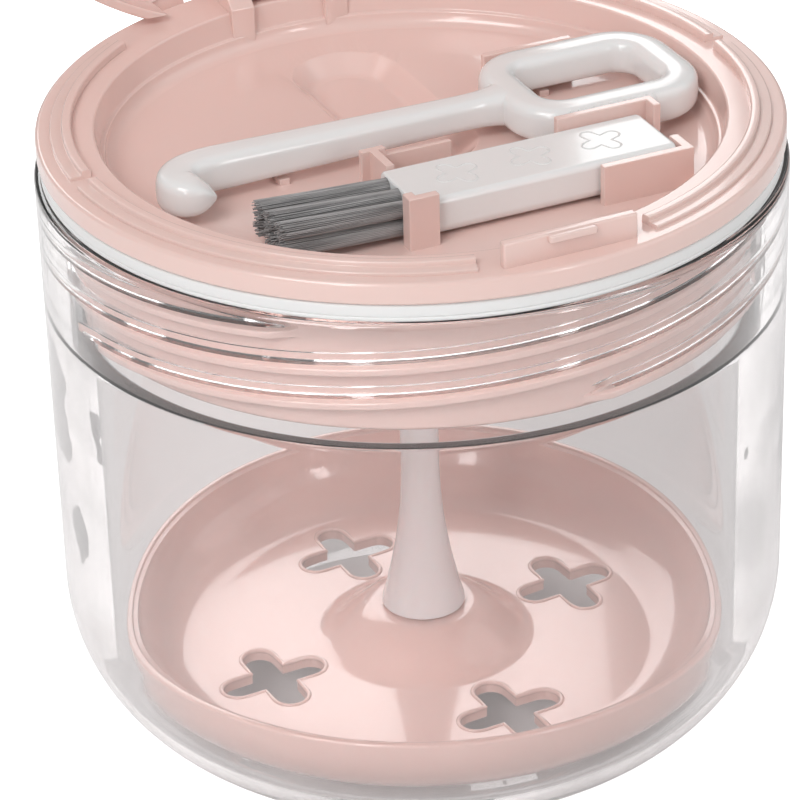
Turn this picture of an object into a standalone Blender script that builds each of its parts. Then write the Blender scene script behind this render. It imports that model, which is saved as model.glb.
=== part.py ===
"""Soaking jar for retainers and aligners, with a screw lid, a lift-out basket, a brush and a removal tool.

Metres, +Z up. The origin is the centre of the jar's flat underside. The lid's hinge is at +Y and its latch
at -Y. The brush and the removal tool lie along X in the lid's tray. The flip cover stands open.
"""

import math

import bmesh
import bpy
from mathutils import Matrix, Vector

MM = 0.001

# Jar: a thick clear wall, a wider threaded neck and a rounded bottom corner.
JAR_R = 47.5
JAR_RIM_Z = 80.3
JAR_BORE_R = 41.6
JAR_CORNER_R = 22.0
JAR_FLOOR_Z = 5.0
JAR_INNER_CORNER_R = 12.0
NECK_R = 44.3
NECK_LEDGE_Z = 62.7

# Four-start screw thread between the neck and the lid's skirt.
THREAD_STARTS = 4
THREAD_LEAD = 18.0
THREAD_SWEEP_DEG = 228.0
THREAD_STEP_DEG = 12.0
THREAD_TAPER_STEPS = 1
LID_THREAD_CREST_R = 43.85
JAR_THREAD_CREST_R = 43.3
THREAD_ROOT_HALF = 0.8
THREAD_CREST_HALF = 0.4
THREAD_EMBED = 0.5
LID_THREAD_BASE_Z = 65.2

# Lid: a flange over the jar's rim, a recessed tray and a skirt that screws into the neck.
LID_R = 47.0
LAND_Z = 85.5
FLANGE_UNDER_Z = 82.7
TRAY_RIM_R = 39.6
TRAY_STEP_R = 38.7
TRAY_STEP_Z = 82.2
TRAY_FLOOR_Z = 80.3
TRAY_FILLET = 1.9
TRAY_UNDER_Z = 78.0
SKIRT_R = 42.5
SKIRT_INNER_R = 40.4
SKIRT_END_Z = 64.2
SOCKET_R = 5.0
SOCKET_BORE_R = 3.1
SOCKET_END_Z = 73.6

# Interrupted ridge on the lid's land, which centres the cover.
RIDGE_INNER_R = 42.4
RIDGE_OUTER_R = 43.6
RIDGE_STEP_R = 45.1
RIDGE_H = 1.1
RIDGE_STEP_H = 0.45
RIDGE_SPANS_DEG = ((-75.0, -2.0), (1.0, 54.0), (126.0, 179.0), (182.0, 255.0))

# Finger scoop under the tool's shaft.
SCOOP_X = 2.0
SCOOP_Y = (1.5, 24.0)
SCOOP_R = 7.3
SCOOP_BOTTOM_R = 4.8
SCOOP_DEPTH = 2.4
SCOOP_WALL = 1.6

# Seal between the flange and the rim.
SEAL_R = (43.4, 46.6)
SEAL_Z = (80.6, 82.4)

# Hinge and cover.
HINGE_Y = 41.3
HINGE_Z = 87.4
PIN_R = 0.9
PIN_HALF = 8.0
BORE_R = 1.05
EAR_X = (5.1, 8.4)
EAR_R = 1.9
EAR_FRONT_Y = 37.9
KNUCKLE_HALF = 4.8
KNUCKLE_R = 1.7
COVER_R = 46.7
COVER_SKIRT = 1.3
COVER_BOTTOM_Z = 85.85
COVER_CEILING_Z = 92.4
COVER_TOP_Z = 94.0
COVER_SKIRT_CUT_Y = 42.2
COVER_NOTCH_HALF = 12.0
COVER_OPEN_DEG = 95.0

# Latch tab at the front.
TAB_HALF = 8.7
TAB_Y = (-44.3, -43.0)
TAB_TOP_Z = 88.7
LIP_HALF = 3.1
LIP_Y = -44.95
LIP_Z = 87.6

# Basket and stem.
BASKET_R = 40.0
BASKET_RIM_Z = 18.3
BASKET_FLOOR_Z = 9.6
BASKET_UNDER_Z = 8.1
BASKET_FLAT_R = 30.0
BASKET_WALL = 1.5
BOSS_TOP_Z = 14.3
BOSS_TOP_R = 6.4
BOSS_FOOT_R = 15.0
HOLE_RING_R = 22.5
HOLE_ARM = 5.0
HOLE_LOBE_R = 2.1
HOLE_START_DEG = 4.0
STEM_FOOT_Z = 14.6
STEM_FOOT_R = 5.7
STEM_R = 2.55
STEM_FLARE_Z = 36.0
STEM_TOP_Z = 76.0
STEM_PLUG_R = 2.8

# Brush.
BRUSH_X = (-10.6, 24.7)
BRUSH_Y = (-24.6, -13.9)
BRUSH_Z = (80.6, 85.6)
BRUSH_EDGE_R = 1.5
TUFT_PITCH_Y = 3.3
TUFT_PITCH_Z = 2.3
TUFT_ROOT_R = 0.85
TUFT_TIP_R = 1.15
TUFT_TIP_X = -28.0
TUFT_LIFT = 0.8
TUFT_SOCKET_R = 1.0
TUFT_SOCKET_DEPTH = 8.0
ANCHOR_SIZE = (1.4, 0.35, 1.5)

# Removal tool.
TOOL_Z = 83.8
TOOL_HALF = 2.4
SHAFT_Y = -0.6
LOOP_X = (13.8, 35.4)
LOOP_Y = (-9.0, 7.4)
LOOP_CORNER = 5.0

GAP = 0.3
ROUND = 64
SMALL_ROUND = 24
SMOOTH_DEG = 35.0


def material(name, colour, roughness, metallic=0.0, alpha=1.0):
    made = bpy.data.materials.new(name)
    made.use_nodes = True
    shader = made.node_tree.nodes["Principled BSDF"]
    shader.inputs["Base Color"].default_value = (*colour, 1.0)
    shader.inputs["Roughness"].default_value = roughness
    shader.inputs["Metallic"].default_value = metallic
    shader.inputs["Alpha"].default_value = alpha
    return made


def add_mesh(name, points, faces):
    """An object from points in millimetres, with its faces turned outwards."""
    mesh = bpy.data.meshes.new(name)
    mesh.from_pydata([Vector(p) * MM for p in points], [], faces)
    work = bmesh.new()
    work.from_mesh(mesh)
    bmesh.ops.recalc_face_normals(work, faces=work.faces)
    work.to_mesh(mesh)
    work.free()
    made = bpy.data.objects.new(name, mesh)
    bpy.context.scene.collection.objects.link(made)
    return made


def lathe(name, profile, steps=ROUND, closed=False):
    """A turned solid. The profile is (radius, z); an open one starts and ends on the axis."""
    points = []
    rings = []
    for radius, z in profile:
        count = steps if radius > 0 else 1
        rings.append(range(len(points), len(points) + count))
        for i in range(count):
            angle = 2 * math.pi * i / steps
            points.append((radius * math.cos(angle), radius * math.sin(angle), z))
    pairs = list(zip(rings, rings[1:]))
    if closed:
        pairs.append((rings[-1], rings[0]))
    faces = []
    for low, high in pairs:
        for i in range(steps):
            j = (i + 1) % steps
            corners = [low[i % len(low)], low[j % len(low)], high[j % len(high)], high[i % len(high)]]
            faces.append(list(dict.fromkeys(corners)))
    return add_mesh(name, points, faces)


def loft(name, outlines):
    """A solid through outlines with the same number of points, closed at both ends."""
    count = len(outlines[0])
    points = [p for outline in outlines for p in outline]
    faces = [list(range(count)), list(range(len(points) - count, len(points)))]
    for k in range(len(outlines) - 1):
        for i in range(count):
            j = (i + 1) % count
            faces.append([k * count + i, k * count + j, (k + 1) * count + j, (k + 1) * count + i])
    return add_mesh(name, points, faces)


def box(name, x, y, z):
    outline = [(x[0], y[0]), (x[1], y[0]), (x[1], y[1]), (x[0], y[1])]
    return prism(name, outline, z)


def prism(name, outline, z):
    return loft(name, [[(px, py, level) for px, py in outline] for level in z])


def prism_x(name, outline, x):
    """An outline of (y, z) points, extruded along X."""
    return loft(name, [[(level, py, pz) for py, pz in outline] for level in x])


def arc(centre, radius, start_deg, end_deg, steps):
    angles = [math.radians(start_deg + (end_deg - start_deg) * i / steps) for i in range(steps + 1)]
    return [(centre[0] + radius * math.cos(a), centre[1] + radius * math.sin(a)) for a in angles]


def combine(target, helper, operation):
    """Joins the helper to the target or cuts it away, then removes the helper."""
    modifier = target.modifiers.new("shape", "BOOLEAN")
    modifier.operation = operation
    modifier.object = helper
    modifier.solver = "EXACT"
    graph = bpy.context.evaluated_depsgraph_get()
    result = bpy.data.meshes.new_from_object(target.evaluated_get(graph))
    target.modifiers.remove(modifier)
    target.data = result
    bpy.data.objects.remove(helper)


def finish(obj, look):
    obj.data.materials.clear()
    obj.data.materials.append(look)
    obj.data.shade_smooth()
    obj.data.set_sharp_from_angle(angle=math.radians(SMOOTH_DEG))
    return obj


def set_origin(obj, point):
    """Moves the object's origin to a point in millimetres without moving its surface."""
    place = Vector(point) * MM
    obj.data.transform(Matrix.Translation(-place))
    obj.location = place


def thread_ridges(name, root_r, crest_r, base_z):
    """The thread's ridges: a trapezoid swept along each start, which fades into the wall at both ends."""
    steps = round(THREAD_SWEEP_DEG / THREAD_STEP_DEG)
    buried_r = root_r + math.copysign(THREAD_EMBED, root_r - crest_r)
    points = []
    faces = []
    for start in range(THREAD_STARTS):
        first = len(points)
        for i in range(steps + 1):
            turned = math.radians(i * THREAD_STEP_DEG)
            angle = turned + 2 * math.pi * start / THREAD_STARTS
            z = base_z + THREAD_LEAD * turned / (2 * math.pi)
            rise = min(1.0, i / THREAD_TAPER_STEPS, (steps - i) / THREAD_TAPER_STEPS)
            low_r = root_r + (buried_r - root_r) / 2
            tip_r = low_r + (crest_r - low_r) * rise
            section = (
                (buried_r, -THREAD_ROOT_HALF),
                (tip_r, -THREAD_CREST_HALF),
                (tip_r, THREAD_CREST_HALF),
                (buried_r, THREAD_ROOT_HALF),
            )
            for r, dz in section:
                points.append((r * math.cos(angle), r * math.sin(angle), z + dz))
        sides = 4
        faces.append([first + k for k in range(sides)])
        faces.append([first + steps * sides + k for k in range(sides)])
        for i in range(steps):
            for k in range(sides):
                m = (k + 1) % sides
                a = first + i * sides
                faces.append([a + k, a + m, a + sides + m, a + sides + k])
    return add_mesh(name, points, faces)


def make_jar(look):
    outer_corner = arc((JAR_R - JAR_CORNER_R, JAR_CORNER_R), JAR_CORNER_R, -90, 0, 7)
    inner_centre = (JAR_BORE_R - JAR_INNER_CORNER_R, JAR_FLOOR_Z + JAR_INNER_CORNER_R)
    inner_corner = arc(inner_centre, JAR_INNER_CORNER_R, 0, -90, 5)
    rim_edge = 0.7
    ledge_round = 1.5
    profile = [(0, 0)] + outer_corner
    profile += [(JAR_R, JAR_RIM_Z - rim_edge), (JAR_R - rim_edge, JAR_RIM_Z)]
    profile += [(NECK_R, JAR_RIM_Z), (NECK_R, NECK_LEDGE_Z)]
    profile += [(JAR_BORE_R + ledge_round, NECK_LEDGE_Z), (JAR_BORE_R, NECK_LEDGE_Z - ledge_round)]
    profile += inner_corner + [(0, JAR_FLOOR_Z)]
    jar = lathe("cup", profile)
    half_pitch = THREAD_LEAD / THREAD_STARTS / 2
    ridges = thread_ridges("ridges", NECK_R, JAR_THREAD_CREST_R, LID_THREAD_BASE_Z + half_pitch)
    combine(jar, ridges, "UNION")
    return finish(jar, look)


def make_seal(look):
    (inner, outer), (low, high) = SEAL_R, SEAL_Z
    edge = 0.5
    profile = [(inner, low), (outer - edge, low), (outer, low + edge), (outer, high - edge)]
    profile += [(outer - edge, high), (inner, high)]
    return finish(lathe("seal_ring", profile, closed=True), look)


def lid_shell():
    edge = 0.7
    fillet_centre = (TRAY_STEP_R - TRAY_FILLET, TRAY_FLOOR_Z + TRAY_FILLET)
    profile = [(0, TRAY_UNDER_Z), (SKIRT_INNER_R, TRAY_UNDER_Z), (SKIRT_INNER_R, SKIRT_END_Z)]
    profile += [(SKIRT_R - edge, SKIRT_END_Z), (SKIRT_R, SKIRT_END_Z + edge), (SKIRT_R, FLANGE_UNDER_Z)]
    profile += [(LID_R, FLANGE_UNDER_Z), (LID_R, LAND_Z - edge), (LID_R - edge, LAND_Z), (TRAY_RIM_R, LAND_Z)]
    profile += [(TRAY_STEP_R, TRAY_STEP_Z)]
    profile += arc(fillet_centre, TRAY_FILLET, 0, -90, 4)[1:] + [(0, TRAY_FLOOR_Z)]
    return lathe("lid", profile)


def ridge_span(start_deg, end_deg):
    """One length of the stepped ridge, as a stepped section swept about the axis."""
    steps = max(2, round((end_deg - start_deg) / 7.5))
    under = LAND_Z - 0.4
    section = [(RIDGE_INNER_R, under), (RIDGE_STEP_R, under), (RIDGE_STEP_R, LAND_Z + RIDGE_STEP_H)]
    section += [(RIDGE_OUTER_R, LAND_Z + RIDGE_STEP_H), (RIDGE_OUTER_R, LAND_Z + RIDGE_H)]
    section += [(RIDGE_INNER_R, LAND_Z + RIDGE_H)]
    outlines = []
    for i in range(steps + 1):
        angle = math.radians(start_deg + (end_deg - start_deg) * i / steps)
        outlines.append([(r * math.cos(angle), r * math.sin(angle), z) for r, z in section])
    return loft("ridge", outlines)


def obround(x, y_pair, radius, z):
    """A slot's outline along Y."""
    low, high = y_pair
    flat = arc((x, high), radius, 0, 180, 10) + arc((x, low), radius, 180, 360, 10)
    return [(px, py, z) for px, py in flat]


def add_scoop(lid):
    under = TRAY_FLOOR_Z - SCOOP_DEPTH - SCOOP_WALL
    pad = [obround(SCOOP_X, SCOOP_Y, SCOOP_R + 0.8, z) for z in (under, TRAY_UNDER_Z + 0.5)]
    combine(lid, loft("pad", pad), "UNION")
    bottom = obround(SCOOP_X, SCOOP_Y, SCOOP_BOTTOM_R, TRAY_FLOOR_Z - SCOOP_DEPTH)
    mouth = obround(SCOOP_X, SCOOP_Y, SCOOP_R, TRAY_FLOOR_Z + 0.2)
    combine(lid, loft("scoop", [bottom, mouth]), "DIFFERENCE")


def tray_walls():
    """The walls and posts that hold the brush and the tool, as (x, y, top z) boxes on the tray's floor."""
    near = BRUSH_Y[0] - GAP
    far = BRUSH_Y[1] + GAP
    left = BRUSH_X[0] - GAP
    right = BRUSH_X[1] + GAP
    return (
        ((left - 1.3, -8.2), (near - 1.1, near), 87.1),
        ((left - 1.3, left), (near - 1.1, near + 1.0), 87.1),
        ((13.8, right + 1.2), (near - 1.1, near), 85.5),
        ((right, right + 1.2), (near - 1.1, near + 3.2), 85.5),
        ((13.7, 27.2), (far, far + 1.0), 86.8),
        ((26.2, 27.2), (far - 1.9, far + 0.5), 86.8),
        ((15.4, 28.2), (10.7, 11.7), 85.3),
        ((-10.7, -7.5), (-8.9, -7.9), 85.7),
        ((-9.6, -8.5), (far, -8.4), 85.7),
        ((-8.0, 1.5), (-8.7, -7.9), 84.6),
        ((21.0, 22.4), (-10.8, -7.4), 81.1),
        ((21.0, 22.4), (5.8, 9.0), 81.1),
        ((-19.0, -17.6), (-2.4, 1.4), 81.1),
    )


def ear(side):
    """A hinge ear, which runs down the tray's wall as a rib."""
    top = arc((HINGE_Y, HINGE_Z), EAR_R, 0, 180, 8)
    outline = [(HINGE_Y + EAR_R, LAND_Z - 0.5)] + top
    outline += [(EAR_FRONT_Y, LAND_Z + 0.6), (EAR_FRONT_Y, TRAY_FLOOR_Z - 0.4), (40.0, TRAY_FLOOR_Z - 0.4)]
    outline += [(40.0, LAND_Z - 0.5)]
    x = sorted((side * EAR_X[0], side * EAR_X[1]))
    return prism_x("ear", outline, x)


def pin_cutter(radius, half):
    return prism_x("bore", arc((HINGE_Y, HINGE_Z), radius, 0, 345, 23), (-half, half))


def make_lid(look):
    lid = lid_shell()
    combine(lid, thread_ridges("ridges", SKIRT_R, LID_THREAD_CREST_R, LID_THREAD_BASE_Z), "UNION")
    for start, end in RIDGE_SPANS_DEG:
        combine(lid, ridge_span(start, end), "UNION")
    add_scoop(lid)
    for x, y, top in tray_walls():
        combine(lid, box("wall", x, y, (TRAY_FLOOR_Z - 0.6, top)), "UNION")
    combine(lid, box("tab", (-TAB_HALF, TAB_HALF), TAB_Y, (LAND_Z - 0.4, TAB_TOP_Z)), "UNION")
    lip_y = (LIP_Y, TAB_Y[0] + 0.3)
    combine(lid, box("lip", (-LIP_HALF, LIP_HALF), lip_y, (LIP_Z, TAB_TOP_Z - 0.15)), "UNION")
    for side in (-1, 1):
        combine(lid, ear(side), "UNION")
    combine(lid, pin_cutter(BORE_R, PIN_HALF + GAP - 0.1), "DIFFERENCE")
    under = TRAY_FLOOR_Z - SCOOP_DEPTH - SCOOP_WALL
    socket = [(SOCKET_BORE_R, under + 0.4), (SOCKET_BORE_R, SOCKET_END_Z), (SOCKET_R, SOCKET_END_Z)]
    socket += [(SOCKET_R, under + 0.4)]
    combine(lid, lathe("socket", socket, SMALL_ROUND, closed=True), "UNION")
    return finish(lid, look)


def make_cover(look):
    """The flip cover, shaped closed and then turned open about the hinge."""
    edge = 1.6
    profile = [(0, COVER_CEILING_Z), (COVER_R - COVER_SKIRT, COVER_CEILING_Z)]
    profile += [(COVER_R - COVER_SKIRT, COVER_BOTTOM_Z), (COVER_R, COVER_BOTTOM_Z)]
    profile += arc((COVER_R - edge, COVER_TOP_Z - edge), edge, 0, 90, 3) + [(0, COVER_TOP_Z)]
    cover = lathe("cover", profile)
    far = COVER_R + 2.0
    under = (COVER_BOTTOM_Z - 1.0, COVER_CEILING_Z)
    combine(cover, box("cut", (-far, far), (COVER_SKIRT_CUT_Y, far), under), "DIFFERENCE")
    whole = (COVER_BOTTOM_Z - 1.0, COVER_TOP_Z + 1.0)
    notch_y = (COVER_SKIRT_CUT_Y + 0.3, far)
    notch = box("notch", (-COVER_NOTCH_HALF, COVER_NOTCH_HALF), notch_y, whole)
    combine(cover, notch, "DIFFERENCE")
    round_part = arc((HINGE_Y, HINGE_Z), KNUCKLE_R, 180, 360, 10)
    web = round_part + [(COVER_SKIRT_CUT_Y + 0.2, COVER_CEILING_Z + 0.5), (HINGE_Y - 2.6, COVER_CEILING_Z + 0.5)]
    combine(cover, prism_x("knuckle", web, (-KNUCKLE_HALF, KNUCKLE_HALF)), "UNION")
    combine(cover, pin_cutter(BORE_R, KNUCKLE_HALF + 1.0), "DIFFERENCE")
    set_origin(cover, (0, HINGE_Y, HINGE_Z))
    cover.rotation_euler = (-math.radians(COVER_OPEN_DEG), 0, 0)
    return finish(cover, look)


def make_pin(look):
    pin = prism_x("hinge_pin", arc((HINGE_Y, HINGE_Z), PIN_R, 0, 345, 23), (-PIN_HALF, PIN_HALF))
    set_origin(pin, (0, HINGE_Y, HINGE_Z))
    return finish(pin, look)


def cross_outline(centre, turn_deg):
    """A drain hole: four rounded lobes joined by concave corners."""
    points = []
    neck = HOLE_LOBE_R * 1.05
    for arm in range(4):
        facing = turn_deg + 90 * arm
        tip = (HOLE_ARM * math.cos(math.radians(facing)), HOLE_ARM * math.sin(math.radians(facing)))
        points += arc(tip, HOLE_LOBE_R, facing - 90, facing + 90, 4)
        inner = math.radians(facing + 45)
        points.append((neck * math.sqrt(2) * math.cos(inner), neck * math.sqrt(2) * math.sin(inner)))
    return [(centre[0] + px, centre[1] + py) for px, py in points]


def make_basket(look):
    wall = BASKET_WALL
    depth = BASKET_RIM_Z - BASKET_UNDER_Z
    run = BASKET_R - BASKET_FLAT_R
    steps = 4
    outer = []
    inner = []
    for i in range(steps + 1):
        angle = math.radians(90 * i / steps)
        outer.append((BASKET_FLAT_R + run * math.sin(angle), BASKET_RIM_Z - depth * math.cos(angle)))
        inner_run = run - wall
        inner_depth = BASKET_RIM_Z - BASKET_FLOOR_Z
        inner.append((BASKET_FLAT_R + inner_run * math.sin(angle), BASKET_RIM_Z - inner_depth * math.cos(angle)))
    boss = []
    rise = BOSS_TOP_Z - BASKET_FLOOR_Z
    boss_steps = 4
    for i in range(boss_steps + 1):
        share = i / boss_steps
        height = BASKET_FLOOR_Z + rise * (1 - math.cos(math.pi * share)) / 2
        boss.append((BOSS_FOOT_R + (BOSS_TOP_R - BOSS_FOOT_R) * share, height))
    profile = [(0, BASKET_UNDER_Z)] + outer + inner[::-1] + boss + [(0, BOSS_TOP_Z)]
    basket = lathe("basket", profile)
    for i in range(4):
        angle = math.radians(HOLE_START_DEG + 90 * i)
        centre = (HOLE_RING_R * math.cos(angle), HOLE_RING_R * math.sin(angle))
        outline = cross_outline(centre, HOLE_START_DEG + 90 * i)
        cutter = prism("hole", outline, (BASKET_UNDER_Z - 1, BASKET_FLOOR_Z + 2))
        combine(basket, cutter, "DIFFERENCE")
    return finish(basket, look)


def make_stem(look):
    steps = 5
    flare = []
    for i in range(steps + 1):
        share = i / steps
        radius = STEM_R + (STEM_FOOT_R - STEM_R) * (1 - share) ** 2
        flare.append((radius, STEM_FOOT_Z + (STEM_FLARE_Z - STEM_FOOT_Z) * share))
    shoulder = SOCKET_END_Z - 0.6
    profile = [(0, STEM_FOOT_Z)] + flare + [(STEM_R, shoulder - 0.4), (STEM_PLUG_R, shoulder)]
    profile += [(STEM_PLUG_R, STEM_TOP_Z - 0.4), (STEM_PLUG_R - 0.4, STEM_TOP_Z), (0, STEM_TOP_Z)]
    return finish(lathe("stem", profile, SMALL_ROUND), look)


def tuft_places():
    """The axis of each tuft at the handle's end, as (y, z)."""
    mid_y = sum(BRUSH_Y) / 2
    mid_z = sum(BRUSH_Z) / 2
    rows = (mid_z - TUFT_PITCH_Z / 2, mid_z + TUFT_PITCH_Z / 2)
    return [(mid_y + TUFT_PITCH_Y * k, z) for z in rows for k in (-1, 0, 1)]


def circle_x(y, z, radius, x, steps=12):
    angles = [2 * math.pi * i / steps for i in range(steps)]
    return [(x, y + radius * math.cos(a), z + radius * math.sin(a)) for a in angles]


def make_brush(handle_look, bristle_look, anchor_look):
    (y0, y1), (z0, z1), r = BRUSH_Y, BRUSH_Z, BRUSH_EDGE_R
    outline = arc((y1 - r, z1 - r), r, 0, 90, 3) + arc((y0 + r, z1 - r), r, 90, 180, 3)
    outline += arc((y0 + r, z0 + r), r, 180, 270, 3) + arc((y1 - r, z0 + r), r, 270, 360, 3)
    handle = prism_x("brush_handle", outline, BRUSH_X)
    face_x = BRUSH_X[0]
    deep_x = face_x + TUFT_SOCKET_DEPTH
    for number, (y, z) in enumerate(tuft_places(), 1):
        bore = [circle_x(y, z, TUFT_SOCKET_R, x) for x in (face_x - 1, deep_x)]
        combine(handle, loft("bore", bore), "DIFFERENCE")
        length, width, height = ANCHOR_SIZE
        anchor_x = (deep_x - GAP - length, deep_x - GAP)
        anchor = box(
            f"tuft_anchor_{number}", anchor_x, (y - width / 2, y + width / 2), (z - height / 2, z + height / 2)
        )
        finish(anchor, anchor_look)
        stations = ((anchor_x[0] - GAP, 0.0, TUFT_ROOT_R), (face_x - 0.5, 0.0, TUFT_ROOT_R))
        stations += ((TUFT_TIP_X, TUFT_LIFT, TUFT_TIP_R),)
        rings = [circle_x(y, z + lift, radius, x) for x, lift, radius in stations]
        finish(loft(f"bristle_tuft_{number}", rings), bristle_look)
    return finish(handle, handle_look)


def swept(name, path, closed):
    """A rounded-square bar along a path of (x, y, z, half size) points in a level plane."""
    count = len(path)
    corner = 0.55
    section = []
    for sx, sy in ((1, 1), (-1, 1), (-1, -1), (1, -1)):
        first, second = (1.0, corner), (corner, 1.0)
        pair = (first, second) if sx * sy > 0 else (second, first)
        section += [(sx * a, sy * b) for a, b in pair]
    outlines = []
    for i, (x, y, z, half) in enumerate(path):
        before = Vector(path[(i - 1) % count if closed else max(i - 1, 0)][:2])
        after = Vector(path[(i + 1) % count if closed else min(i + 1, count - 1)][:2])
        along = (after - before).normalized()
        side = Vector((-along.y, along.x))
        outlines.append([(x + side.x * a * half, y + side.y * a * half, z + b * half) for a, b in section])
    if not closed:
        return loft(name, outlines)
    sides = len(section)
    points = [p for outline in outlines for p in outline]
    faces = []
    for i in range(count):
        j = (i + 1) % count
        for k in range(sides):
            m = (k + 1) % sides
            faces.append([i * sides + k, i * sides + m, j * sides + m, j * sides + k])
    return add_mesh(name, points, faces)


def loop_path():
    (x0, x1), (y0, y1), r = LOOP_X, LOOP_Y, LOOP_CORNER
    flat = arc((x1 - r, y1 - r), r, 0, 90, 4) + arc((x0 + r, y1 - r), r, 90, 180, 4)
    flat += arc((x0 + r, y0 + r), r, 180, 270, 4) + arc((x1 - r, y0 + r), r, 270, 360, 4)
    return [(x, y, TOOL_Z, TOOL_HALF) for x, y in flat]


def make_tool(look):
    tool = swept("removal_tool", loop_path(), True)
    shaft = (
        (LOOP_X[0] - 0.6, SHAFT_Y, TOOL_Z, 2.2),
        (8.0, SHAFT_Y, TOOL_Z, 2.0),
        (-8.0, SHAFT_Y, TOOL_Z, 2.2),
        (-24.0, SHAFT_Y, TOOL_Z, 2.45),
        (-29.0, SHAFT_Y - 0.2, TOOL_Z, 2.5),
        (-32.0, SHAFT_Y - 1.4, TOOL_Z, 2.5),
        (-33.3, SHAFT_Y - 3.6, TOOL_Z, 2.5),
        (-32.2, SHAFT_Y - 6.0, TOOL_Z, 2.3),
        (-29.6, SHAFT_Y - 7.2, TOOL_Z, 0.5),
    )
    combine(tool, swept("shaft", shaft, False), "UNION")
    return finish(tool, look)


def main():
    for old in list(bpy.data.objects):
        bpy.data.objects.remove(old)
    clear = material("clear_plastic", (0.93, 0.93, 0.93), 0.05, alpha=0.3)
    pink = material("pink_plastic", (0.80, 0.52, 0.47), 0.25)
    white = material("white_plastic", (0.85, 0.85, 0.85), 0.2)
    pearl = material("pearl_plastic", (0.88, 0.86, 0.86), 0.15)
    silicone = material("silicone", (0.86, 0.88, 0.88), 0.45)
    bristle = material("bristle_nylon", (0.12, 0.12, 0.12), 0.5)
    steel = material("steel", (0.6, 0.6, 0.62), 0.3, metallic=1.0)
    make_jar(clear)
    make_seal(silicone)
    make_lid(pink)
    make_pin(steel)
    make_cover(pink)
    make_basket(pink)
    make_stem(pearl)
    make_brush(white, bristle, steel)
    make_tool(white)


main()
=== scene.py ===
"""Looks for a retainer soaking jar with a screw lid, flip cover, basket, brush and removal tool.

Shapes are given in millimetres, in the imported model's frame, and become metres as meshes are made.
"""

import math
import random

import bmesh
import bpy
import numpy as np
from mathutils import Matrix, Vector


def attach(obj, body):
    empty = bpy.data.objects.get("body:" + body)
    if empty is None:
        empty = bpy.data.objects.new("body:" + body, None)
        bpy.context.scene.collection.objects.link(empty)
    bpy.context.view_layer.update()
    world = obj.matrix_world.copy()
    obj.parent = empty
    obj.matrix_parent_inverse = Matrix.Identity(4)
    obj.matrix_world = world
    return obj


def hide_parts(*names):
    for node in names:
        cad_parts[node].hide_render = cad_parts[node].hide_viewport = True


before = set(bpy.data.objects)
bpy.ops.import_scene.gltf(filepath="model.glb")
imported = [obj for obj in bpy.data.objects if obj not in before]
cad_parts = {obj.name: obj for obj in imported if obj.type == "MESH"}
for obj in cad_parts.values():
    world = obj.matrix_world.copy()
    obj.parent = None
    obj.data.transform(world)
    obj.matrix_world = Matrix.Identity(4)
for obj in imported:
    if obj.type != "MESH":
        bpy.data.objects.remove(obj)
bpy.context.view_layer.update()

MM = 0.001
ROUND = 192

# Jar and its neck thread.
JAR_R = 47.5
JAR_RIM_Z = 80.3
JAR_BORE_R = 41.6
JAR_CORNER_R = 22.0
JAR_FLOOR_Z = 5.0
JAR_INNER_CORNER_R = 12.0
NECK_R = 44.3
NECK_LEDGE_Z = 62.7
THREAD_STARTS = 4
THREAD_LEAD = 18.0
THREAD_SWEEP_DEG = 228.0
THREAD_STEP_DEG = 3.0
THREAD_OFFSET_DEG = 0.7
LID_THREAD_CREST_R = 43.8
JAR_THREAD_CREST_R = 43.3
LID_THREAD_BASE_Z = 65.2

# Lid.
LID_R = 47.0
LAND_Z = 85.5
FLANGE_UNDER_Z = 82.7
TRAY_RIM_R = 39.6
TRAY_STEP_R = 38.7
TRAY_STEP_Z = 82.2
TRAY_FLOOR_Z = 80.3
TRAY_UNDER_Z = 78.0
SKIRT_R = 42.5
SKIRT_INNER_R = 40.4
SKIRT_END_Z = 64.2
RIDGE_SPANS_DEG = ((-75.0, -2.0), (1.0, 54.0), (126.0, 179.0), (182.0, 255.0))
SCOOP_X = 2.0
SCOOP_Y = (1.5, 24.0)
SCOOP_PAD_R = 8.1

# Each step of the scoop's wall, as (height above the tray's floor, radius).
SCOOP_STEPS = (
    (-2.4, 3.9),
    (-2.36, 4.4),
    (-2.2, 4.8),
    (-1.95, 5.15),
    (-0.4, 6.9),
    (-0.15, 7.2),
    (0.02, 7.45),
    (0.3, 7.75),
)
WALL_SINK = 0.5

# Hinge and latch tab.
HINGE_Y = 41.3
HINGE_Z = 87.4
HINGE_BORE_R = 1.05
EAR_X = (5.1, 8.4)
EAR_R = 1.9
EAR_FRONT_Y = 37.9
EAR_BACK_Y = 39.9
EAR_BORE_X = (2.9, 8.2)
TAB_HALF = 8.7
TAB_Y = (-44.3, -43.0)
TAB_TOP_Z = 88.7
LIP_HALF = 3.1

# Cover, shaped closed and then turned open.
COVER_R = 46.7
COVER_SKIRT_R = 45.4
COVER_BOTTOM_Z = 85.85
COVER_CEILING_Z = 92.4
COVER_TOP_Z = 94.0
COVER_CUT_Y = 42.2
COVER_NOTCH_Y = 42.5
COVER_NOTCH_HALF = 12.0
KNUCKLE_R = 1.7
KNUCKLE_HALF = 4.8
COVER_OPEN_DEG = 95.0

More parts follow.
